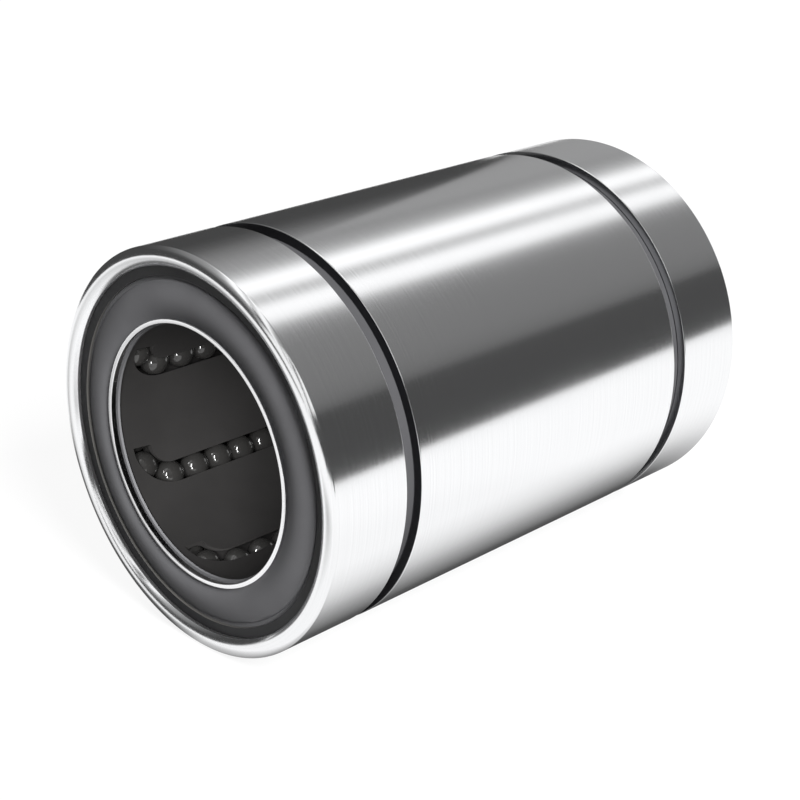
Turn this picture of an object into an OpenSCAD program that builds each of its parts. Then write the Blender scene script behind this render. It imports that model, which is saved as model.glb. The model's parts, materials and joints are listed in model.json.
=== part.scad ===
// Linear ball bearing: a closed ball bushing with end seals, for a 25 mm shaft in a 40 mm housing bore.
// The shaft runs along Y, the front end faces -Y, and the origin is the middle of the bore.
// Each piece is drawn about the Z axis with its front end down, and lay() then lays it along Y.

/* [Shaft and housing] */
// Diameter of the shaft that runs in the bearing
shaft_d = 25; // [20:1:32]
// Sleeve wall behind the return tracks, which sets the outer diameter of 40 mm
sleeve_wall = 2.8; // [2.5:0.1:4]
// Length over the two end faces
length = 59; // [46:1:80]

/* [Snap ring grooves] */
// Distance over the outer edges of the two grooves
groove_span = 41; // [34:1:50]
// Width of a groove
groove_w = 1.85; // [1.3:0.05:2.3]
// Depth of a groove below the outer surface
groove_deep = 1; // [0.6:0.1:1.3]

/* [Ball loops] */
// Number of ball loops around the shaft
loops = 7; // [4:1:7]
// Diameter of a ball
ball_d = 3; // [2.5:0.1:3.6]
// Web of the cage between the two tracks of a loop
web_w = 3.08; // [2.4:0.01:3.7]
// How much further out the return track lies than the loaded track
return_lift = 1.6; // [1.3:0.1:2]
// Direction of the first loaded track, from straight up towards +X
first_track = 31; // [0:1:90]
// How far the rows of balls stand from the end of their travel, in the pose shown
row_shift = 0.1; // [0:0.1:2.5]

/* [Fits of the balls] */
// Gap between neighbouring balls
ball_gap = 0.025; // [0.02:0.005:0.05]
// Gap between a ball and the wall of its channel
channel_gap = 0.06; // [0.04:0.01:0.1]
// Gap between a loaded ball and its raceway in the sleeve
race_gap = 0.02; // [0.01:0.005:0.04]
// Gap between a return ball and the sleeve
relief_gap = 0.1; // [0.06:0.01:0.2]

/* [Raceways and cage] */
// Width of a raceway land in the sleeve
land_w = 6.4; // [5.4:0.1:7]
// Length of the ramp at each end of a raceway
ramp_l = 1.2; // [0.8:0.1:2]
// How far a raceway stops short of the turn of its loop
ramp_back = 0.8; // [0.4:0.1:1.5]
// Gap between the shaft and the cage
cage_clear = 0.3; // [0.25:0.01:0.4]
// Gap between the cage and the sleeve
cage_gap = 0.25; // [0.15:0.01:0.35]
// Width of the slot through which the loaded balls touch the shaft
slot_w = 2.1; // [2:0.05:2.7]
// How far the slot hooks round the turn of a loop, in degrees
slot_hook = 95; // [80:1:110]
// Wall of the cage beyond the turn of a loop
end_wall = 0.3; // [0.25:0.05:1]
// End play of the cage between the two washers, at each end
end_play = 0.03; // [0.02:0.01:0.1]

/* [End faces] */
// Wall of the sleeve around the recess at each end
rim_wall = 1.9; // [1.8:0.1:2.4]
// Chamfer on the outer edge
edge_chamfer = 0.5; // [0.3:0.1:0.8]
// Chamfer on the inner edge
rim_chamfer = 0.5; // [0.3:0.1:0.6]

/* [Retaining ring] */
// Depth of the retaining ring below the end face
ring_deep = 0.85; // [0.8:0.05:1.5]
// Thickness of the retaining ring
ring_t = 0.35; // [0.3:0.05:0.6]
// How far the retaining ring stands out of its groove
ring_proud = 1; // [0.4:0.1:1.2]
// How far the retaining ring reaches into its groove
ring_bite = 0.4; // [0.3:0.1:0.6]
// Opening between the ends of the retaining ring
ring_opening = 4; // [2:0.5:8]
// Direction of that opening, from straight up towards +X
opening_at = 61; // [0:1:359]
// Clearance of the ring in its groove
groove_clear = 0.02; // [0.02:0.01:0.05]

/* [Seal and washer] */
// Thickness of the seal's outer flange, which the retaining ring clamps
flange_t = 0.35; // [0.3:0.05:0.6]
// Thickness of the end washer under the seal
washer_t = 0.25; // [0.2:0.05:0.5]
// Gap around the seal and the washer in the recess
seat_gap = 0.05; // [0.02:0.01:0.1]
// Open annular gap between the retaining ring and the crown of the seal
moat_w = 0.4; // [0.3:0.05:0.6]
// Depth of the seal's crown below the end face, where it is highest
crown_deep = 0.6; // [0.4:0.01:0.65]
// How much the crown falls from there to its shoulder and to the bright ring
crown_fall = 0.25; // [0.1:0.05:0.3]
// Radius of the crown's rounded shoulder
shoulder_r = 0.3; // [0.2:0.05:0.35]
// Depth of the bright ring below the end face
bright_deep = 0.6; // [0.3:0.01:0.7]
// Width of the bright ring, seen from the end
bright_w = 0.46; // [0.4:0.02:0.8]
// Gap between the shaft and the bright ring
bright_clear = 0.17; // [0.16:0.01:0.3]
// Thickness of the steel disc inside the seal
disc_t = 0.2; // [0.15:0.05:0.25]
// Rubber between the disc's edge and the shoulder of the crown
disc_edge = 0.8; // [0.5:0.1:1.2]
// Width of the sealing lip's edge along the shaft
lip_w = 0.25; // [0.15:0.05:0.4]
// Depth of the lip's edge below the seal's flange
lip_drop = 0.1; // [0:0.05:0.15]
// How far the rubber behind the lip reaches from the shaft, inside the washer
lip_body = 1.6; // [1.3:0.1:1.8]

/* [Hidden] */
$fn = 96;
// how far a cut runs past the surface that it opens
past = 1;

shaft_r = shaft_d / 2;
ball_r = ball_d / 2;
channel_r = ball_r + channel_gap;

// tracks of a loop: both lie in one plane, a turn's diameter apart
turn_r = channel_r + web_w / 2;
load_r = shaft_r + ball_r;
return_r = load_r + return_lift;
loop_span = acos((load_r ^ 2 + return_r ^ 2 - 4 * turn_r ^ 2) / (2 * load_r * return_r));
load_point = [load_r, 0];
return_point = return_r * [cos(loop_span), sin(loop_span)];
plane_point = (load_point + return_point) / 2;
plane_tilt = atan2(return_point.x - load_point.x, return_point.y - load_point.y);

// radii of the sleeve and the cage
race_r = load_r + ball_r + race_gap;
relief_r = return_r + ball_r + relief_gap;
outer_r = relief_r + sleeve_wall;
cage_bore_r = shaft_r + cage_clear;
cage_land_r = race_r - cage_gap;
cage_lobe_r = relief_r - cage_gap;
recess_r = outer_r - rim_wall;
ring_in_r = recess_r - ring_proud;
ring_out_r = recess_r + ring_bite;
seat_r = recess_r - seat_gap;

// depths below an end face, one piece after another
flange_deep = ring_deep + ring_t;
washer_deep = flange_deep + flange_t;
shoulder_deep = washer_deep + washer_t;
cage_deep = shoulder_deep + end_play;
turn_deep = cage_deep + end_wall + channel_r + turn_r;

// rows of balls: each can be moved along by one ball's width, and then the pattern repeats
travel = ball_d;
track_l = length - 2 * turn_deep;
row_count = floor((track_l - travel) / (ball_d + ball_gap)) + 1;
row_pitch = (track_l - travel) / (row_count - 1);
travel_turn = travel / turn_r * 180 / PI;
shift_turn = row_shift / turn_r * 180 / PI;
// a turn holds as many balls as fit, and the room left over is shared between them and the rows' ends
least_step = 2 * asin((ball_d + ball_gap) / (2 * turn_r));
turn_count = floor((180 + travel_turn) / least_step) - 1;
turn_step = (180 + travel_turn) / (turn_count + 1);
turn_play = turn_step - travel_turn;
race_l = track_l - 2 * ramp_back;

// seal
bright_in_r = shaft_r + bright_clear;
bright_out_r = bright_in_r + bright_w;
crown_out_r = ring_in_r - moat_w;
disc_out_r = crown_out_r - disc_edge;
disc_deep = flange_deep - disc_t;
lip_root_r = (bright_in_r + bright_out_r) / 2;
lip_body_r = shaft_r + lip_body;
lip_deep = flange_deep + lip_drop;
washer_in_r = lip_body_r + seat_gap;

steel = [0.72, 0.73, 0.74];
ball_steel = [0.88, 0.88, 0.9];
black_resin = [0.13, 0.12, 0.12];
seal_rubber = [0.23, 0.23, 0.24];
bright_steel = [0.93, 0.93, 0.94];
dark_steel = [0.42, 0.43, 0.45];

end_pieces = ["washer", "seal", "seal_ring", "retaining_ring"];
ball_groups = ["loaded", "return", "front_turn", "rear_turn"];

// lays a piece along Y, with its front end towards -Y
module lay() rotate([-90, 0, 0]) children();

// turns a piece that is drawn towards +X to a direction measured from straight up
module facing(direction) rotate(direction - 90) children();

// draws a piece of an end: its depth below the end face runs along +Z
module front_end() lay() translate([0, 0, -length / 2]) children();
module rear_end() lay() mirror([0, 0, 1]) translate([0, 0, -length / 2]) children();

module at_track(k) facing(first_track + (k - 1) * 360 / loops) children();

// the plane of a loop: X from the loaded to the return track, Y along the bearing and Z outwards
module in_loop(k)
    at_track(k) translate([plane_point.x, plane_point.y, 0]) rotate([90, 0, 90 - plane_tilt]) children();

// Outer sleeve

module edge_ring(r, depth) {
    // what a chamfer takes off the outer edge
    rotate_extrude()
        polygon([[r - depth, -past], [r + past, -past], [r + past, depth], [r, depth], [r - depth, 0]]);
}

module recess() {
    translate([0, 0, -past]) cylinder(r = recess_r, h = past + shoulder_deep);
    translate([0, 0, -past])
        cylinder(r1 = recess_r + rim_chamfer + past, r2 = recess_r, h = past + rim_chamfer);
    translate([0, 0, ring_deep - groove_clear])
        cylinder(r = ring_out_r + groove_clear, h = ring_t + 2 * groove_clear);
}

module snap_groove(z) {
    translate([0, 0, z]) difference() {
        cylinder(r = outer_r + past, h = groove_w);
        translate([0, 0, -past]) cylinder(r = outer_r - groove_deep, h = groove_w + 2 * past);
    }
}

module raceway_land(k) {
    at_track(k) translate([race_r - past, -land_w / 2, -length / 2 - past])
        cube([relief_r - race_r + 2 * past, land_w, length + 2 * past]);
}

module raceway_space() {
    // the bore between the loaded balls, with a ramp and a relieved zone at each end
    cylinder(r = race_r, h = length, center = true);
    for (end = [0, 1]) mirror([0, 0, end]) {
        translate([0, 0, race_l / 2]) cylinder(r1 = race_r, r2 = relief_r, h = ramp_l);
        translate([0, 0, race_l / 2 + ramp_l]) cylinder(r = relief_r, h = length / 2);
    }
}

module outer_sleeve() {
    color(steel) lay() difference() {
        cylinder(r = outer_r, h = length, center = true);
        for (end = [0, 1]) mirror([0, 0, end]) translate([0, 0, -length / 2]) {
            edge_ring(outer_r, edge_chamfer);
            recess();
        }
        snap_groove(-groove_span / 2);
        snap_groove(groove_span / 2 - groove_w);
        raceway_space();
        difference() {
            cylinder(r = relief_r, h = length, center = true);
            for (k = [1:loops]) raceway_land(k);
        }
    }
}

// Ball cage

module channel_outline() {
    // section of a track: round under the balls and open towards the sleeve
    circle(r = channel_r, $fn = 48);
    translate([-channel_r, 0]) square([2 * channel_r, relief_r - load_r]);
}

module slot_outline() {
    // section of the opening through which a loaded ball touches the shaft
    translate([-slot_w / 2, -2 * ball_r]) square([slot_w, 1.5 * ball_r]);
}

module along_track(side, z_from, z_to) {
    // sweeps a section along the straight part of a track, on the -X or +X side of the loop
    translate([side * turn_r, z_to, 0]) rotate([90, 0, 0]) linear_extrude(z_to - z_from) children();
}

module round_turn(from, sweep) {
    // sweeps a section round a turn, from an angle off the loaded track
    rotate(180 + from) rotate_extrude(angle = sweep) translate([turn_r, 0]) children();
}

module loop_channel() {
    for (side = [-1, 1]) along_track(side, -track_l / 2, track_l / 2) channel_outline();
    translate([0, -track_l / 2, 0]) round_turn(0, 180) channel_outline();
    translate([0, track_l / 2, 0]) round_turn(180, 180) channel_outline();
}

module loop_slot() {
    along_track(-1, -track_l / 2, track_l / 2) slot_outline();
    translate([0, -track_l / 2, 0]) round_turn(0, slot_hook) slot_outline();
    translate([0, track_l / 2, 0]) round_turn(-slot_hook, slot_hook) slot_outline();
}

module cage_blank() {
    cage_l = length - 2 * cage_deep;
    land_clear = land_w + 2 * cage_gap;
    difference() {
        cylinder(r = cage_lobe_r, h = cage_l, center = true);
        cylinder(r = cage_bore_r, h = length, center = true);
        difference() {
            for (k = [1:loops]) at_track(k) translate([0, -land_clear / 2, -length / 2])
                cube([outer_r, land_clear, length]);
            cylinder(r = cage_land_r, h = length + past, center = true);
        }
    }
}

module ball_cage() {
    color(black_resin) lay() difference() {
        cage_blank();
        for (k = [1:loops]) in_loop(k) {
            loop_channel();
            loop_slot();
        }
    }
}

// Balls: each loop has two straight rows and two groups in its turns

module ball() sphere(d = ball_d, $fn = 32);

module row(side, first) {
    for (i = [0:row_count - 1]) translate([side * turn_r, -track_l / 2 + first + i * row_pitch, 0]) ball();
}

module turn_group(from) {
    // from is the first ball's angle past the loaded track
    for (i = [0:turn_count - 1]) rotate(180 + from + i * turn_step) translate([turn_r, 0, 0]) ball();
}

module loaded_balls(k) color(ball_steel) lay() in_loop(k) row(-1, travel - row_shift);

module return_balls(k) color(ball_steel) lay() in_loop(k) row(1, row_shift);

module front_turn_balls(k) {
    color(ball_steel) lay() in_loop(k) translate([0, -track_l / 2, 0]) turn_group(turn_play + shift_turn);
}

module rear_turn_balls(k) {
    color(ball_steel) lay() in_loop(k) translate([0, track_l / 2, 0]) mirror([0, 1, 0])
        turn_group(turn_play + travel_turn - shift_turn);
}

// Pieces in the recess of each end, drawn from the end face inwards

module washer() {
    color(dark_steel) translate([0, 0, washer_deep]) difference() {
        cylinder(r = seat_r, h = washer_t);
        translate([0, 0, -past]) cylinder(r = washer_in_r, h = washer_t + 2 * past);
    }
}

module seal_ring_section() {
    // an angle ring: its upright is the bright edge round the bore, its disc stiffens the rubber
    translate([bright_in_r, bright_deep]) square([bright_w, flange_deep - bright_deep]);
    translate([lip_root_r, disc_deep]) square([disc_out_r - lip_root_r, disc_t]);
}

function arc(centre, r, from, to, steps = 6) =
    [for (i = [0:steps]) let (at = from + (to - from) * i / steps) centre + r * [cos(at), sin(at)]];

// the crown's face, from its shoulder in to the bright ring, as a low dome that is highest halfway
function crown_face(from_r, to_r, steps = 10) =
    [for (i = [steps - 1:-1:0]) let (share = i / steps)
        [to_r + (from_r - to_r) * share, crown_deep + crown_fall * (2 * share - 1) ^ 2]];

module seal_section() {
    shoulder_at = [crown_out_r - shoulder_r, crown_deep + crown_fall + shoulder_r];
    difference() {
        polygon(concat(
            [
                [seat_r, washer_deep],
                [seat_r, flange_deep],
                [crown_out_r, flange_deep]
            ],
            arc(shoulder_at, shoulder_r, 0, -90),
            crown_face(shoulder_at.x, lip_root_r),
            [
                [lip_root_r, flange_deep],
                [shaft_r, lip_deep],
                [shaft_r, lip_deep + lip_w],
                [lip_root_r, shoulder_deep - seat_gap],
                [lip_body_r, shoulder_deep - seat_gap],
                [lip_body_r, washer_deep]
            ]
        ));
        seal_ring_section();
    }
}

module seal() color(seal_rubber) rotate_extrude() seal_section();

module seal_ring() color(bright_steel) rotate_extrude() seal_ring_section();

module retaining_ring() {
    color(steel) translate([0, 0, ring_deep]) difference() {
        cylinder(r = ring_out_r, h = ring_t);
        translate([0, 0, -past]) cylinder(r = ring_in_r, h = ring_t + 2 * past);
        facing(opening_at) translate([0, -ring_opening / 2, -past])
            cube([outer_r, ring_opening, ring_t + 2 * past]);
    }
}

outer_sleeve();
ball_cage();
front_end() washer();  // front_washer
front_end() seal();  // front_seal
front_end() seal_ring();  // front_seal_ring
front_end() retaining_ring();  // front_retaining_ring
rear_end() washer();  // rear_washer
rear_end() seal();  // rear_seal
rear_end() seal_ring();  // rear_seal_ring
rear_end() retaining_ring();  // rear_retaining_ring
for (k = [1:loops]) {
    loaded_balls(k);
    return_balls(k);
    front_turn_balls(k);
    rear_turn_balls(k);
}
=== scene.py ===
import json
import math

import bmesh
import bpy
from mathutils import Matrix, Vector


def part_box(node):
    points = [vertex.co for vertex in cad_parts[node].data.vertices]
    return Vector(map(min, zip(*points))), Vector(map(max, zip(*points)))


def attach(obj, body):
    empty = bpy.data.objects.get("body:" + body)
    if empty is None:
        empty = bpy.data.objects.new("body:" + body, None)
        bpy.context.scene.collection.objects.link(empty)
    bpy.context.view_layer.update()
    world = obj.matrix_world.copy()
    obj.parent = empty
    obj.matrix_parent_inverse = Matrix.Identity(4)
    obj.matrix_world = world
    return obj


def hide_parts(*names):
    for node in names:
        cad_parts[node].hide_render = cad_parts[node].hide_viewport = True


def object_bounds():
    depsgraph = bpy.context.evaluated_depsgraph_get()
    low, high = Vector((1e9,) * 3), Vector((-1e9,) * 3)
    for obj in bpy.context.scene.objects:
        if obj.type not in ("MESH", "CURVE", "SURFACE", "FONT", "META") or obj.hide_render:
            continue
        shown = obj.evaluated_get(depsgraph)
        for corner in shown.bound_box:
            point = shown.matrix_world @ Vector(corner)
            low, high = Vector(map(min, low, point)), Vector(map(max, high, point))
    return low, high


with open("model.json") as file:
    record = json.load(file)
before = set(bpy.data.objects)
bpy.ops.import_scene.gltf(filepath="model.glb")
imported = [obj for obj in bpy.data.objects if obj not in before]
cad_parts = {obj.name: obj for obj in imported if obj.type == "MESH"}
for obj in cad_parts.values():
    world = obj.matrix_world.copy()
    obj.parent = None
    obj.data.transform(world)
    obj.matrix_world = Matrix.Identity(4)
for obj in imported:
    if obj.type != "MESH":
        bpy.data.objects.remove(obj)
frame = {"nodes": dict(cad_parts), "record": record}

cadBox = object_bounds()
scene = bpy.context.scene
mounts = {m["name"]: m for m in frame["record"]["mounts"]}
mm = 0.001
fullTurn = 2 * math.pi
weldWithin = 0.0005 * mm  # corners closer than this become one
findWithin = 0.01 * mm  # a point this near a corner counts as on it
sharpAngle = math.radians(35)  # creases steeper than this stay sharp
print("frame loaded:", len(frame["nodes"]), "nodes")


# small helpers for meshes

def radiusOf(place):
    return math.hypot(place.x, place.z)


def spinOutline(outline, steps, sweep=fullTurn):
    # turns a closed outline of (radius, y) corners about the bearing's axis
    bm = bmesh.new()
    corners = [bm.verts.new((r, y, 0)) for r, y in outline]
    edges = [bm.edges.new((a, b)) for a, b in zip(corners, corners[1:] + corners[:1])]
    faces = [] if sweep == fullTurn else [bm.faces.new(corners)]
    bmesh.ops.spin(bm, geom=corners + edges + faces, cent=(0, 0, 0), axis=(0, 1, 0),
                   angle=sweep, steps=steps, use_merge=not faces)
    bmesh.ops.remove_doubles(bm, verts=bm.verts, dist=weldWithin)
    bmesh.ops.recalc_face_normals(bm, faces=bm.faces)
    return bm


def ringEdges(bm, corners):
    # the edges of the rings that these corners of the outline were turned into
    def near(a, b):
        return abs(a - b) < findWithin

    def onCorner(v):
        return any(near(radiusOf(v.co), r) and near(v.co.y, y) for r, y in corners)

    return [e for e in bm.edges
            if near(e.verts[0].co.y, e.verts[1].co.y)
            and near(radiusOf(e.verts[0].co), radiusOf(e.verts[1].co))
            and onCorner(e.verts[0])]


def roundRings(bm, corners, width, segments):
    bmesh.ops.bevel(bm, geom=ringEdges(bm, corners), offset=width, segments=segments,
                    profile=0.5, affect="EDGES", material=-1, clamp_overlap=True)


def addPiece(name, bm, finish, body, replaced):
    bmesh.ops.recalc_face_normals(bm, faces=bm.faces)
    mesh = bpy.data.meshes.new(name)
    bm.to_mesh(mesh)
    bm.free()
    mesh.shade_smooth()
    mesh.set_sharp_from_angle(angle=sharpAngle)
    piece = bpy.data.objects.new(name, mesh)
    scene.collection.objects.link(piece)
    mesh.materials.append(finish)
    weighted = piece.modifiers.new("weightedNormals", "WEIGHTED_NORMAL")
    weighted.keep_sharp = True
    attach(piece, body)
    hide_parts(replaced)
    return piece


# small helpers for materials

def newFinish(name, colour, metallic, roughness):
    finish = bpy.data.materials.new(name)
    finish.use_nodes = True
    shader = finish.node_tree.nodes["Principled BSDF"]
    shader.inputs["Base Color"].default_value = (*colour, 1)
    shader.inputs["Metallic"].default_value = metallic
    shader.inputs["Roughness"].default_value = roughness
    return finish, finish.node_tree, shader


def addNode(tree, kind, **settings):
    node = tree.nodes.new(kind)
    for key, value in settings.items():
        setattr(node, key, value)
    return node


def addMath(tree, operation, first, second=None):
    node = addNode(tree, "ShaderNodeMath", operation=operation)
    for socket, value in zip(node.inputs, (first, second)):
        if hasattr(value, "is_linked"):
            tree.links.new(value, socket)
        elif value is not None:
            socket.default_value = value
    return node.outputs["Value"]


def addRamp(tree, fac, stops):
    # stops are (position, value) with the value a grey or a colour
    ramp = addNode(tree, "ShaderNodeValToRGB")
    elements = ramp.color_ramp.elements
    while len(elements) < len(stops):
        elements.new(0.5)
    for element, (place, value) in zip(elements, stops):
        grey = isinstance(value, (int, float))
        element.position = place
        element.color = (value, value, value, 1) if grey else (*value, 1)
    tree.links.new(fac, ramp.inputs["Fac"])
    return ramp.outputs["Color"]


def ownCoords(tree):
    return addNode(tree, "ShaderNodeTexCoord").outputs["Object"]


def ownPlace(tree):
    # where a point is on its own piece, as separate X, Y and Z
    parts = addNode(tree, "ShaderNodeSeparateXYZ")
    tree.links.new(ownCoords(tree), parts.inputs["Vector"])
    return parts.outputs


def addNoise(tree, scale, detail, rings=None):
    # noise on the piece's own coordinates, or in one dimension along a given value
    noise = addNode(tree, "ShaderNodeTexNoise", noise_dimensions="1D" if rings else "3D")
    noise.inputs["Scale"].default_value = scale
    noise.inputs["Detail"].default_value = detail
    if rings:
        tree.links.new(rings, noise.inputs["W"])
    else:
        tree.links.new(ownCoords(tree), noise.inputs["Vector"])
    return noise.outputs["Fac"]


def turnedPlace(tree):
    # distance along plus distance out from the axis, which stays the same along the lines that
    # a lathe or grinder leaves
    place = ownPlace(tree)
    across = addMath(tree, "MULTIPLY", place["X"], place["X"])
    up = addMath(tree, "MULTIPLY", place["Z"], place["Z"])
    out = addMath(tree, "SQRT", addMath(tree, "ADD", across, up))
    return addMath(tree, "ADD", place["Y"], out)


def addBump(tree, shader, height, strength, distance):
    bump = addNode(tree, "ShaderNodeBump")
    bump.inputs["Strength"].default_value = strength
    bump.inputs["Distance"].default_value = distance
    tree.links.new(height, bump.inputs["Height"])
    tree.links.new(bump.outputs["Normal"], shader.inputs["Normal"])


def varyFinish(tree, shader, look, grain, wear, tone):
    # roughness follows one pattern and colour another, each between two values
    roughness = addRamp(tree, wear, list(zip(grain["wearStops"], look["roughness"])))
    tree.links.new(roughness, shader.inputs["Roughness"])
    shades = [Vector(look["colour"]) * tint for tint in grain["tints"]]
    colour = addRamp(tree, tone, list(zip(grain["toneStops"], shades)))
    tree.links.new(colour, shader.inputs["Base Color"])


# steel finishes

steelGrain = {
    "lineDetail": 5,
    "cloudScale": 90,
    "cloudDetail": 3,
    "cloudShare": 0.4,  # of the wear: the rest follows the lines
    "wearStops": (0.3, 0.7),
    "toneStops": (0.3, 0.7),
    "tints": (0.965, 1.02),  # darkest and palest tone, as shares of the colour
    "bumpStrength": 0.5,
    "highlightTurn": 0.25,  # in full turns
}
steelLook = {
    "colour": (0.9, 0.905, 0.915),
    "roughness": (0.14, 0.2),
    "lineScale": 5200,
    "lineDepth": 0.0004 * mm,
    "anisotropy": 0.55,
}
turnedLook = {
    "colour": (0.62, 0.62, 0.63),
    "roughness": (0.42, 0.55),
    "lineScale": 6000,
    "lineDepth": 0.001 * mm,
    "anisotropy": 0.2,
}
# very dark steel for the walls of the snap ring grooves
darkGrooveWallLook = {
    "colour": (0.06, 0.06, 0.065),
    "roughness": (0.35, 0.45),
    "lineScale": 6000,
    "lineDepth": 0.001 * mm,
    "anisotropy": 0.2,
}
brightLook = {
    "colour": (0.9, 0.9, 0.91),
    "roughness": (0.16, 0.22),
    "lineScale": 9000,
    "lineDepth": 0.0003 * mm,
    "anisotropy": 0.3,
}
washerLook = {
    "colour": (0.4, 0.41, 0.43),
    "roughness": (0.3, 0.4),
    "lineScale": 7000,
    "lineDepth": 0.0006 * mm,
    "anisotropy": 0.3,
}


def makeSteel(name, look):
    g = steelGrain
    finish, tree, shader = newFinish(name, look["colour"], 1, look["roughness"][0])
    lines = addNoise(tree, look["lineScale"], g["lineDetail"], rings=turnedPlace(tree))
    clouds = addNoise(tree, g["cloudScale"], g["cloudDetail"])
    wear = addMath(tree, "ADD", addMath(tree, "MULTIPLY", lines, 1 - g["cloudShare"]),
                   addMath(tree, "MULTIPLY", clouds, g["cloudShare"]))
    varyFinish(tree, shader, look, g, wear, lines)
    shader.inputs["Anisotropic"].default_value = look["anisotropy"]
    shader.inputs["Anisotropic Rotation"].default_value = g["highlightTurn"]
    tangent = addNode(tree, "ShaderNodeTangent", direction_type="RADIAL", axis="Y")
    tree.links.new(tangent.outputs["Tangent"], shader.inputs["Tangent"])
    addBump(tree, shader, lines, g["bumpStrength"], look["lineDepth"])
    return finish


groundSteel = makeSteel("groundSteel", steelLook)
turnedSteel = makeSteel("turnedSteel", turnedLook)
darkGrooveWallSteel = makeSteel("darkGrooveWallSteel", darkGrooveWallLook)
brightSteel = makeSteel("brightDrawnSteel", brightLook)
washerSteel = makeSteel("washerSteel", washerLook)


# matt and dark finishes

mattGrain = {
    "grainDetail": 3,
    "patchScale": 140,
    "patchDetail": 4,
    "wearStops": (0.35, 0.65),
    "toneStops": (0.3, 0.7),
    "tints": (0.9, 1.08),
    "bumpStrength": 0.35,
}
grooveLook = {
    "colour": (0.055, 0.055, 0.058),
    "roughness": (0.35, 0.45),
    "gloss": 0.4,
    "grainScale": 7000,
    "grainDepth": 0.003 * mm,
}
phosphateLook = {
    "colour": (0.014, 0.014, 0.015),
    "roughness": (0.42, 0.55),
    "gloss": 0.2,
    "grainScale": 9000,
    "grainDepth": 0.002 * mm,
}
# painted highlight: the paler colour of the retaining rings' inner edge
edgeHighlightLook = {
    "colour": (0.08, 0.078, 0.074),
    "roughness": (0.35, 0.45),
    "gloss": 0.5,
    "grainScale": 9000,
    "grainDepth": 0.002 * mm,
}
rubberLook = {
    "colour": (0.14, 0.14, 0.146),
    "roughness": (0.4, 0.48),
    "gloss": 0.05,
    "grainScale": 6500,
    "grainDepth": 0.004 * mm,
}
resinLook = {
    "colour": (0.042, 0.0405, 0.04),
    "roughness": (0.5, 0.6),
    "gloss": 0.2,
    "grainScale": 5000,
    "grainDepth": 0.005 * mm,
}
ballLook = {
    "colour": (0.036, 0.035, 0.034),  # dark, with one small glint each
    "roughness": (0.02, 0.05),
    "gloss": 0.8,
    "grainScale": 1200,
    "grainDepth": 0.0002 * mm,
}


def makeMatt(name, look):
    g = mattGrain
    finish, tree, shader = newFinish(name, look["colour"], 0, look["roughness"][0])
    shader.inputs["Specular IOR Level"].default_value = look["gloss"]
    grain = addNoise(tree, look["grainScale"], g["grainDetail"])
    patches = addNoise(tree, g["patchScale"], g["patchDetail"])
    varyFinish(tree, shader, look, g, patches, patches)
    addBump(tree, shader, grain, g["bumpStrength"], look["grainDepth"])
    return finish


grooveSteel = makeMatt("grooveSteel", grooveLook)
phosphatedSteel = makeMatt("phosphatedSteel", phosphateLook)
paintedEdgeHighlight = makeMatt("paintedEdgeHighlight", edgeHighlightLook)
sealRubber = makeMatt("sealRubber", rubberLook)
cageResin = makeMatt("cageResin", resinLook)
ballSteel = makeMatt("darkBallSteel", ballLook)
print("finishes made")


# outer sleeve

sleeve = {
    "steps": 576,
    "edgeChamfer": 0.5 * mm,
    "rimWall": 1.9 * mm,
    "rimChamfer": 0.5 * mm,
    "ringGroove": (0.83 * mm, 1.22 * mm, 0.42 * mm),  # from, to and how deep in the recess's wall
    "shoulderDepth": 1.8 * mm,
    "boreRadius": 17.2 * mm,
    "raceRadius": 15.52 * mm,
    "raceEnd": 21.91 * mm,
    "rampLength": 1.2 * mm,
    "firstTrack": 31,  # degrees from straight up towards +X
    "tracks": 7,
    "landHalfAngle": 11.3,
    "rimRound": 0.42 * mm,
    "rimSegments": 8,
    "edgeRound": 0.06 * mm,
    "grooveRound": 0.09 * mm,
    "edgeSegments": 3,
}
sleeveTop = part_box("outer_sleeve")[1]
outerRadius = sleeveTop.x
halfLength = sleeveTop.y
recessRadius = outerRadius - sleeve["rimWall"]


def bothEnds(corners):
    return [(r, side * y) for r, y in corners for side in (-1, 1)]


def rearGroove():
    # radius of the snap ring groove's floor, and where its near and far walls are
    mount = mounts["rear_snap_groove"]
    width = mount["dims"]["length_mm"] * mm
    middle = mount["pos_m"][1]
    return mount["dims"]["r_mm"] * mm, middle - width / 2, middle + width / 2


def makeSleeve():
    s = sleeve
    chamfer = s["edgeChamfer"]
    grooveFrom, grooveTo, grooveBite = s["ringGroove"]
    bottom, near, far = rearGroove()
    # one half, from the middle of the outside round the rear end to the middle of the bore
    outside = [(outerRadius, near), (bottom, near), (bottom, far), (outerRadius, far),
               (outerRadius, halfLength - chamfer), (outerRadius - chamfer, halfLength)]
    rim = [(recessRadius + s["rimChamfer"], halfLength),
           (recessRadius, halfLength - s["rimChamfer"])]
    ringSeat = [(recessRadius, halfLength - grooveFrom),
                (recessRadius + grooveBite, halfLength - grooveFrom),
                (recessRadius + grooveBite, halfLength - grooveTo),
                (recessRadius, halfLength - grooveTo)]
    bore = [(recessRadius, halfLength - s["shoulderDepth"]),
            (s["boreRadius"], halfLength - s["shoulderDepth"]),
            (s["boreRadius"], s["raceEnd"] + s["rampLength"]),
            (s["boreRadius"], s["raceEnd"])]
    half = outside + rim + ringSeat + bore
    bm = spinOutline(half + [(r, -y) for r, y in reversed(half)], s["steps"])
    raiseLands(bm)
    roundRings(bm, bothEnds((outside[-1], rim[0])), s["rimRound"], s["rimSegments"])
    roundRings(bm, bothEnds((outside[-2], rim[1])), s["edgeRound"], s["edgeSegments"])
    roundRings(bm, bothEnds(outside[:4]), s["grooveRound"], s["edgeSegments"])
    shell = addPiece("groundSleeve", bm, groundSteel, "housing_side",
                     "outer_sleeve")
    finishSleeve(shell, bottom, near, far)


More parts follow.
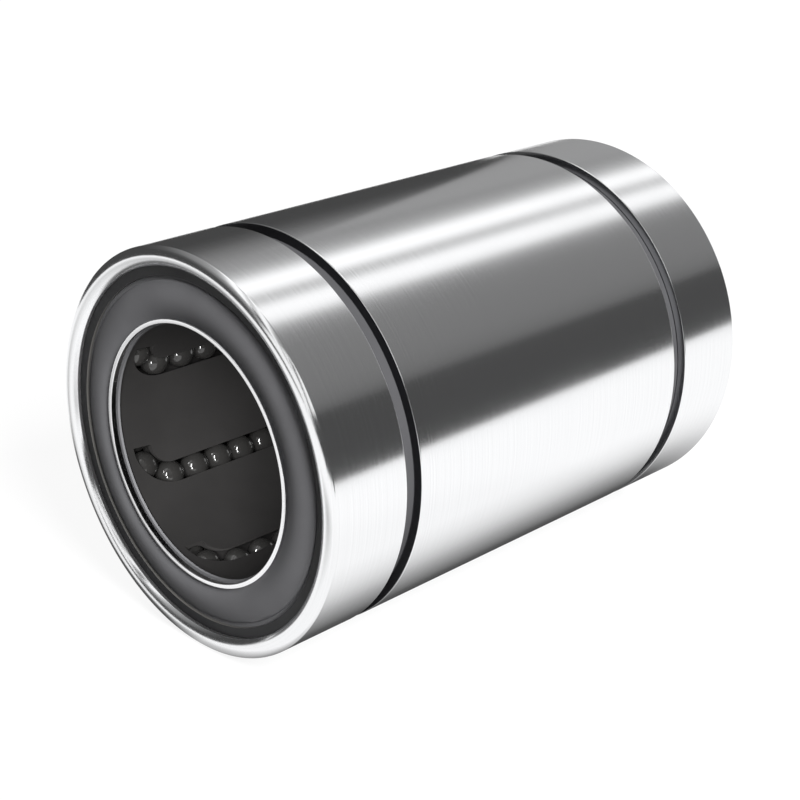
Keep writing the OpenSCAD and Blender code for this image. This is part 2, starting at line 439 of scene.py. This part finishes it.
def raiseLands(bm):
    # the raceway lands stand in from the bore, with a ramp at each end
    s = sleeve
    step = 360 / s["tracks"]
    for v in bm.verts:
        inBore = radiusOf(v.co) < s["boreRadius"] + findWithin
        if inBore and abs(v.co.y) < s["raceEnd"] + findWithin:
            direction = math.degrees(math.atan2(v.co.x, v.co.z)) - s["firstTrack"]
            offTrack = abs((direction + step / 2) % step - step / 2)
            if offTrack < s["landHalfAngle"]:
                share = s["raceRadius"] / radiusOf(v.co)
                v.co.x *= share
                v.co.z *= share


def finishSleeve(shell, bottom, near, far):
    # only the outside and the rims are ground: the recesses and the bore are turned, and the snap
    # ring grooves have dull floors and very dark walls
    for finish in (turnedSteel, grooveSteel, darkGrooveWallSteel):
        shell.data.materials.append(finish)
    turned, grooveFloor, darkWall = 1, 2, 3
    for face in shell.data.polygons:
        out = radiusOf(face.center)
        along = abs(face.center.y)
        pastRim = halfLength - along > sleeve["edgeChamfer"]
        if out < recessRadius + 2 * findWithin or pastRim and out < bottom - findWithin:
            face.material_index = turned
        elif near < along < far and out < outerRadius - sleeve["grooveRound"]:
            level = out < bottom + sleeve["grooveRound"] and abs(face.normal.y) < 0.5
            face.material_index = grooveFloor if level else darkWall


makeSleeve()
print("sleeve made")


# seals, their angle rings and the retaining rings, the same at both ends

seal = {
    "steps": 256,
    "flangeFrom": 1.2 * mm,
    "flangeTo": 1.55 * mm,
    "flangeRadius": 18.05 * mm,
    "crownRadius": 16.7 * mm,
    "crownDepth": 0.6 * mm,
    "crownTop": 14.85 * mm,  # radius where the crown is highest
    "innerFall": 0.4 * mm,
    "outerFall": 0.42 * mm,
    "crownSteps": 12,
    "shoulderRound": 0.22 * mm,
    "shoulderSegments": 5,
    "lipRadius": 12.5 * mm,
    "lipFrom": 1.3 * mm,
    "lipTo": 1.55 * mm,
    "backRadius": 14.1 * mm,
    "backDepth": 1.75 * mm,
}
angleRing = {
    "steps": 256,
    "inner": 12.67 * mm,
    "outer": 13.13 * mm,
    "top": 0.6 * mm,
    "foot": 1.2 * mm,
    "edgeRound": 0.08 * mm,
    "edgeSegments": 4,
}
retainingRing = {
    "steps": 240,
    "proud": 17.1 * mm,
    "outer": 18.5 * mm,
    "top": 0.85 * mm,
    "foot": 1.2 * mm,
    "opening": 4 * mm,
    "openingAt": 61,  # degrees from straight up towards +X
    "edgeRound": 0.05 * mm,
    "edgeSegments": 2,
}


def atEnd(side, outline):
    # an outline of (radius, depth below the end face), placed at the front (-1) or rear (1) end
    return [(r, side * (halfLength - depth)) for r, depth in outline]


def crownLine():
    # the face falls away evenly from its top to the shoulder outside and the angle ring inside
    s = seal
    steps = s["crownSteps"]
    outer = s["crownRadius"] - s["crownTop"]
    inner = s["crownTop"] - angleRing["outer"]
    line = [(s["crownTop"] + outer * share, s["crownDepth"] + s["outerFall"] * share ** 2)
            for share in (1 - i / steps for i in range(steps))]
    line += [(s["crownTop"] - inner * share, s["crownDepth"] + s["innerFall"] * share ** 2)
             for share in (i / steps for i in range(steps + 1))]
    return line


def makeSeal(side, end):
    s = seal
    crown = crownLine()
    outline = [(s["flangeRadius"], s["flangeTo"]), (s["flangeRadius"], s["flangeFrom"]),
               (s["crownRadius"], s["flangeFrom"]), *crown,
               (angleRing["outer"], s["flangeFrom"]),
               (s["lipRadius"], s["lipFrom"]), (s["lipRadius"], s["lipTo"]),
               (angleRing["outer"], s["backDepth"]), (s["backRadius"], s["backDepth"]),
               (s["backRadius"], s["flangeTo"])]
    bm = spinOutline(atEnd(side, outline), s["steps"])
    roundRings(bm, atEnd(side, crown[:1]), s["shoulderRound"], s["shoulderSegments"])
    addPiece(f"{end}SealRubber", bm, sealRubber, "housing_side", f"{end}_seal")


def makeAngleRing(side, end):
    a = angleRing
    outline = [(a["inner"], a["foot"]), (a["inner"], a["top"]),
               (a["outer"], a["top"]), (a["outer"], a["foot"])]
    bm = spinOutline(atEnd(side, outline), a["steps"])
    roundRings(bm, atEnd(side, outline[1:3]), a["edgeRound"], a["edgeSegments"])
    addPiece(f"{end}AngleRing", bm, brightSteel, "housing_side",
             f"{end}_seal_ring")


def makeRetainingRing(side, end):
    c = retainingRing
    outline = [(c["outer"], c["foot"]), (c["outer"], c["top"]),
               (c["proud"], c["top"]), (c["proud"], c["foot"])]
    halfGap = math.asin(c["opening"] / 2 / c["proud"])
    bm = spinOutline(atEnd(side, outline), c["steps"], fullTurn - 2 * halfGap)
    # the sweep starts at +X and turns towards -Z: bring its start to the opening's far side
    turn = math.radians(c["openingAt"] - 90) + halfGap
    bmesh.ops.rotate(bm, verts=bm.verts, cent=(0, 0, 0), matrix=Matrix.Rotation(turn, 3, "Y"))
    roundRings(bm, atEnd(side, outline[2:]), c["edgeRound"], c["edgeSegments"])
    ring = addPiece(f"{end}RetainingRing", bm, phosphatedSteel, "housing_side",
                    f"{end}_retaining_ring")
    # the stamped edge towards the axis is painted paler, a painted highlight along it
    ring.data.materials.append(paintedEdgeHighlight)
    for face in ring.data.polygons:
        if radiusOf(face.center) < c["proud"] + 2 * findWithin:
            face.material_index = 1


for side, end in ((-1, "front"), (1, "rear")):
    makeSeal(side, end)
    makeAngleRing(side, end)
    makeRetainingRing(side, end)
print("seals and rings made")


# CAD nodes whose shape is right only take their finish

ballWord = "_balls_"  # in the name of every node of balls
cadFinishes = {"ball_cage": cageResin, "front_washer": washerSteel, "rear_washer": washerSteel}
for name, node in frame["nodes"].items():
    finish = ballSteel if ballWord in name else cadFinishes.get(name)
    if finish:
        for slot in node.material_slots:
            slot.material = finish
print("cage, washers and balls finished")


# studio

studio = {
    "floorSize": 6,
    "floorColour": 0.7,
    "floorRoughness": 0.9,
    "whiteShare": 0.88,  # of the floor is white by itself: the rest is lit and takes the shadow
    "fillLevel": 0.15,  # how bright the surroundings light the matt surfaces
    "shadeLevel": 0.02,
    "shadeMargin": 1.1,  # size of a soft shade's card over that of the shade
}
tent = {"radius": 0.6, "reach": 1.4, "steps": 96}
# brightness of the tent by direction round the axis, in degrees from straight up towards +X
tentBands = [
    (-100, 0.05), (-92, 0.045), (-72, 0.052), (-60, 0.09), (-50, 0.19), (-32, 0.34), (-26, 0.5),
    (-20, 1.25), (-13, 1.25), (-9, 0.5), (-5, 0.5), (-1, 1.2), (7, 1.1), (12, 0.42), (17, 0.26),
    (24, 0.215), (50, 0.19), (58, 0.17), (66, 0.09), (76, 0.065), (90, 0.07), (100, 0.09),
]
cards = {
    # middle, width, height, turn about Z in degrees, brightness
    "leftFlag": ((-0.18, -1.3, 0.025), 3, 0.09, 90, 0.06),
    "rightFlag": ((0.137, 0, 0.025), 3, 0.09, 90, 0.07),
    "rearCard": ((-0.4, 0.82, 0.22), 0.76, 0.44, 90, 0.33),
    "frontCard": ((0.26, -0.46, 0.22), 0.34, 0.4, 30, 1),
    "glintCard": ((0.2, -0.45, 0.2), 0.06, 0.3, 24, 36),
    "sideGlintCard": ((0.105, -0.19, 0.002), 0.022, 0.044, 33, 36),
    "lowGlintCard": ((-0.07, -0.46, 0.3), 0.06, 0.2, -9, 36),
}
lamps = {
    # place, power, size
    "keyLamp": ((0.48, -0.15, 0.34), 10, 0.2),
    "fillLamp": ((0.36, -0.36, 0.2), 0.25, 0.3),
    "boreLamp": ((0.36, -0.36, 0.2), 4.2, 0.3),
    "rearLamp": ((-0.35, 0.45, 0.35), 5, 0.3),
}
lightLinks = {
    # the nodes with these words in their names are left out of the light, or are all it falls on
    "keyLamp": ("EXCLUDE", ("ball_cage", ballWord)),
    "frontCard": ("EXCLUDE", ("ball_cage", ballWord)),
    "boreLamp": ("INCLUDE", ("ball_cage", ballWord)),
    "glintCard": ("INCLUDE", (ballWord,)),
    "sideGlintCard": ("INCLUDE", (ballWord,)),
    "lowGlintCard": ("INCLUDE", (ballWord,)),
}
contactShade = {
    "size": 0.13,
    "height": 0.1 * mm,
    # darkness by distance across and along the bearing, in millimetres
    "across": [(-62, 0), (-55, 0.35), (-48, 0.82), (-20, 0.93), (10.7, 0.94), (12.3, 0.84),
               (14, 0.74), (15.8, 0.62), (17.8, 0.43), (20.2, 0.24), (23, 0.1), (27, 0)],
    "along": [(-32, 0), (-27.5, 1), (30, 1), (52, 0)],
    "slant": 0.42,  # how far forward its ends run for each step to the left
}
softShades = {
    # middle, radius along and across, turn in degrees, depth, height above the floor
    "leftShade": ((-0.0615, -0.059), 0.052, 0.03, 33, 0.5, 0.2 * mm),
    "frontShade": ((0.008, -0.071), 0.028, 0.028, 0, 0.5, 0.3 * mm),
}
photoView = {
    "place": (0.11565, -0.11636, 0.06425),
    "sight": (-0.6572, 0.6522, -0.3779),
    "lens": 75.97,
    "sensorWidth": 36,
    "clipStart": 0.005,
}


def seenDirectly(tree):
    # 1 where the camera, a reflection or glass sees it, 0 where it only lights the surroundings
    rays = addNode(tree, "ShaderNodeLightPath")
    seen = addMath(tree, "MAXIMUM", rays.outputs["Is Camera Ray"], rays.outputs["Is Glossy Ray"])
    return addMath(tree, "MAXIMUM", seen, rays.outputs["Is Transmission Ray"])


def layShader(tree, share, under, over):
    mix = addNode(tree, "ShaderNodeMixShader")
    tree.links.new(share, mix.inputs["Fac"])
    tree.links.new(under, mix.inputs[1])
    tree.links.new(over, mix.inputs[2])
    tree.links.new(mix.outputs["Shader"], tree.nodes["Material Output"].inputs["Surface"])


def glowFinish(name, level):
    finish = bpy.data.materials.new(name)
    finish.use_nodes = True
    tree = finish.node_tree
    glow = addNode(tree, "ShaderNodeEmission")
    glow.inputs["Color"].default_value = (level, level, level, 1)
    tree.links.new(glow.outputs["Emission"], tree.nodes["Material Output"].inputs["Surface"])
    return finish, tree, glow


def addStage(name, bm, finish, reflectionsOnly=True):
    mesh = bpy.data.meshes.new(name)
    bm.to_mesh(mesh)
    bm.free()
    stage = bpy.data.objects.new(name, mesh)
    scene.collection.objects.link(stage)
    mesh.materials.append(finish)
    stage.visible_diffuse = False  # the surroundings alone fill the matt surfaces
    if reflectionsOnly:
        stage.visible_camera = False
        stage.visible_shadow = False


def levelSquare(size, middle, height):
    # a square this far above the level that the bearing lies on
    bm = bmesh.new()
    bmesh.ops.create_grid(bm, x_segments=1, y_segments=1, size=size / 2)
    bmesh.ops.translate(bm, verts=bm.verts, vec=(*middle, cadBox[0].z + height))
    return bm


def makeWorld():
    world = bpy.data.worlds.new("studioWorld")
    scene.world = world
    world.use_nodes = True
    tree = world.node_tree
    level = addRamp(tree, seenDirectly(tree), [(0, studio["fillLevel"]), (1, 1)])
    tree.links.new(level, tree.nodes["Background"].inputs["Color"])


def makeFloor():
    finish, tree, shader = newFinish("paleFloor", (studio["floorColour"],) * 3, 0,
                                     studio["floorRoughness"])
    shader.inputs["Specular IOR Level"].default_value = 0
    white = addNode(tree, "ShaderNodeEmission").outputs["Emission"]
    share = addMath(tree, "MULTIPLY", seenDirectly(tree), studio["whiteShare"])
    layShader(tree, share, shader.outputs["BSDF"], white)
    addStage("studioFloor", levelSquare(studio["floorSize"], (0, 0), 0), finish, False)


def addShade(name, square, finish, tree, glow, darkness):
    # a card just above the floor that only the reflections see: clear where the darkness is 0
    clear = addNode(tree, "ShaderNodeBsdfTransparent").outputs["BSDF"]
    layShader(tree, darkness, clear, glow.outputs["Emission"])
    addStage(name, square, finish)


def makeContactShade():
    # the bearing's own dark shape on the floor
    c = contactShade
    finish, tree, glow = glowFinish("contactShade", studio["shadeLevel"])
    place = ownPlace(tree)

    def fade(distance, stops):
        share = addMath(tree, "ADD", addMath(tree, "DIVIDE", distance, c["size"]), 0.5)
        return addRamp(tree, share, [(mark * mm / c["size"] + 0.5, dark) for mark, dark in stops])

    across = fade(place["X"], c["across"])
    slant = addMath(tree, "MULTIPLY", addMath(tree, "MINIMUM", place["X"], 0), -c["slant"])
    along = fade(addMath(tree, "ADD", place["Y"], slant), c["along"])
    square = levelSquare(c["size"], (0, 0), c["height"])
    addShade("contactShade", square, finish, tree, glow,
             addMath(tree, "MULTIPLY", across, along))


def makeSoftShade(name):
    middle, along, across, turn, depth, height = softShades[name]
    finish, tree, glow = glowFinish(name, studio["shadeLevel"])
    mapping = addNode(tree, "ShaderNodeMapping", vector_type="TEXTURE")
    mapping.inputs["Location"].default_value = (*middle, cadBox[0].z)
    mapping.inputs["Rotation"].default_value = (0, 0, math.radians(turn))
    mapping.inputs["Scale"].default_value = (along, across, across)
    tree.links.new(ownCoords(tree), mapping.inputs["Vector"])
    disc = addNode(tree, "ShaderNodeTexGradient", gradient_type="SPHERICAL")
    tree.links.new(mapping.outputs["Vector"], disc.inputs["Vector"])
    square = levelSquare(2 * studio["shadeMargin"] * along, middle, height)
    addShade(name, square, finish, tree, glow,
             addMath(tree, "MULTIPLY", disc.outputs["Fac"], depth))


def makeTent():
    # a half cylinder of light and dark bands round the bearing's axis
    first, last = (math.radians(tentBands[i][0]) for i in (0, -1))
    bm = bmesh.new()
    ends = [bm.verts.new((0, y, tent["radius"])) for y in (-tent["reach"], tent["reach"])]
    edge = bm.edges.new(ends)
    bmesh.ops.rotate(bm, verts=ends, cent=(0, 0, 0), matrix=Matrix.Rotation(first, 3, "Y"))
    bmesh.ops.spin(bm, geom=ends + [edge], cent=(0, 0, 0), axis=(0, 1, 0),
                   angle=last - first, steps=tent["steps"])
    finish, tree, glow = glowFinish("tentBands", 1)
    place = ownPlace(tree)
    turn = addMath(tree, "ARCTAN2", place["X"], place["Z"])
    share = addMath(tree, "ADD", addMath(tree, "DIVIDE", turn, fullTurn), 0.5)
    bands = addRamp(tree, share, [(angle / 360 + 0.5, level) for angle, level in tentBands])
    tree.links.new(bands, glow.inputs["Color"])
    addStage("bandTent", bm, finish)


def makeCard(name):
    middle, width, height, turn, level = cards[name]
    bm = bmesh.new()
    bmesh.ops.create_grid(bm, x_segments=1, y_segments=1, size=0.5)
    bmesh.ops.scale(bm, verts=bm.verts, vec=(width, height, 1))
    stood = Matrix.Rotation(math.radians(turn), 3, "Z") @ Matrix.Rotation(math.pi / 2, 3, "X")
    bmesh.ops.rotate(bm, verts=bm.verts, cent=(0, 0, 0), matrix=stood)
    bmesh.ops.translate(bm, verts=bm.verts, vec=middle)
    addStage(name, bm, glowFinish(name, level)[0])


def makeLamp(name):
    place, power, size = lamps[name]
    lamp = bpy.data.lights.new(name, "AREA")
    lamp.energy = power
    lamp.size = size
    holder = bpy.data.objects.new(name, lamp)
    holder.location = place
    holder.rotation_euler = (-Vector(place)).to_track_quat("-Z", "Y").to_euler()
    holder.visible_glossy = False
    scene.collection.objects.link(holder)


def linkLight(name):
    state, words = lightLinks[name]
    group = bpy.data.collections.new(name + "Group")
    for nodeName, node in frame["nodes"].items():
        if any(word in nodeName for word in words):
            group.objects.link(node)
    for member in group.collection_objects:
        member.light_linking.link_state = state
    scene.objects[name].light_linking.receiver_collection = group


def makeCamera():
    lens = bpy.data.cameras.new("photoCamera")
    lens.lens = photoView["lens"]
    lens.sensor_width = photoView["sensorWidth"]
    lens.clip_start = photoView["clipStart"]
    camera = bpy.data.objects.new("photoCamera", lens)
    camera.location = photoView["place"]
    camera.rotation_euler = Vector(photoView["sight"]).to_track_quat("-Z", "Y").to_euler()
    scene.collection.objects.link(camera)
    scene.camera = camera


makeWorld()
makeFloor()
makeContactShade()
for name in softShades:
    makeSoftShade(name)
makeTent()
for name in cards:
    makeCard(name)
for name in lamps:
    makeLamp(name)
for name in lightLinks:
    linkLight(name)
makeCamera()
scene.view_settings.view_transform = "Standard"
print("studio made")
